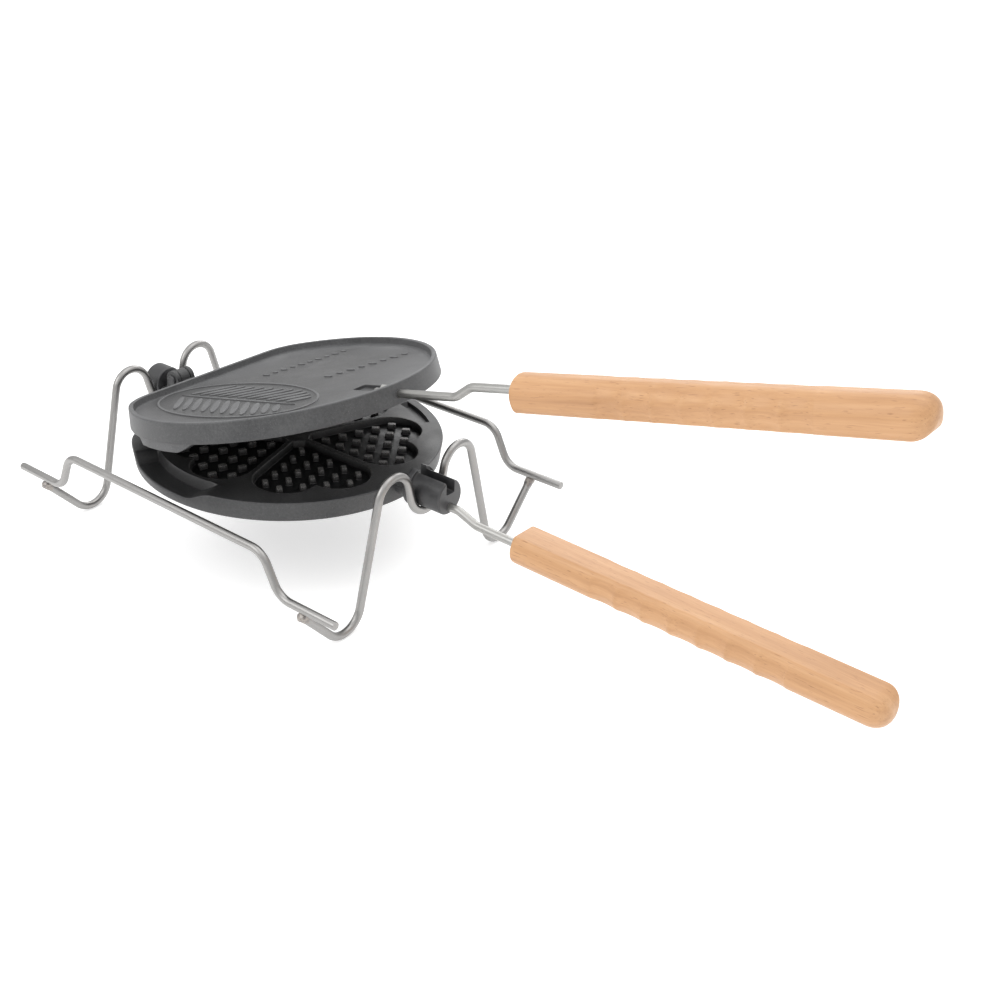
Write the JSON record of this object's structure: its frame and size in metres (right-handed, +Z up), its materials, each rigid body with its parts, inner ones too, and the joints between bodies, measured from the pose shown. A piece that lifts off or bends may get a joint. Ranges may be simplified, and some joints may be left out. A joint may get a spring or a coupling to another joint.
{
  "type": "waffle iron",
  "caption": "Hinged cast-iron heart-waffle iron on steel rods with wooden grips, turning in a bent-wire stand.",
  "frame": {"origin": "centre of the plan box, on the surface that the stand's four foot bends rest on", "axes": "+X from the hinge towards the tips of the grips, +Y to the far side of the stand, +Z up"},
  "size_m": [0.5852, 0.2324, 0.2202],
  "materials": {
    "stand_wire": "satin drawn stainless wire",
    "weld_metal": "ground weld",
    "cast_iron": "seasoned sand-cast iron",
    "black_iron": "smooth blackened iron",
    "plated_steel": "plain plated steel",
    "rod_steel": "satin drawn stainless rod",
    "beech": "sanded oiled beech"
  },
  "bodies": {
    "stand": {"front_end_frame": "stand_wire", "rear_end_frame": "stand_wire", "near_rail": "stand_wire", "far_rail": "stand_wire", "front_near_weld": "weld_metal", "front_far_weld": "weld_metal", "rear_near_weld": "weld_metal", "rear_far_weld": "weld_metal"},
    "lower_half": {"lower_plate": "cast_iron", "front_trunnion_bush": "black_iron", "rear_trunnion_disc": "black_iron", "rear_trunnion_screw": "plated_steel", "hinge_pin": "black_iron", "lower_rod": "rod_steel", "lower_rod_nut": "plated_steel", "lower_grip": "beech"},
    "upper_half": {"upper_plate": "cast_iron", "upper_rod": "rod_steel", "upper_rod_nut": "plated_steel", "upper_grip": "beech"}
  },
  "joints": [
    {"name": "iron_roll", "type": "hinge", "parent": "stand", "child": "lower_half", "pos_m": [0, 0, 0.07267], "axis": [1, 0, 0], "range_deg": [-16.1, 19.9]},
    {"name": "plates_open", "type": "hinge", "parent": "lower_half", "child": "upper_half", "pos_m": [-0.24868, 0.00026, 0.08067], "axis": [0, -0.9995, 0.0332], "range_deg": [-13.5, 76.5]}
  ]
}
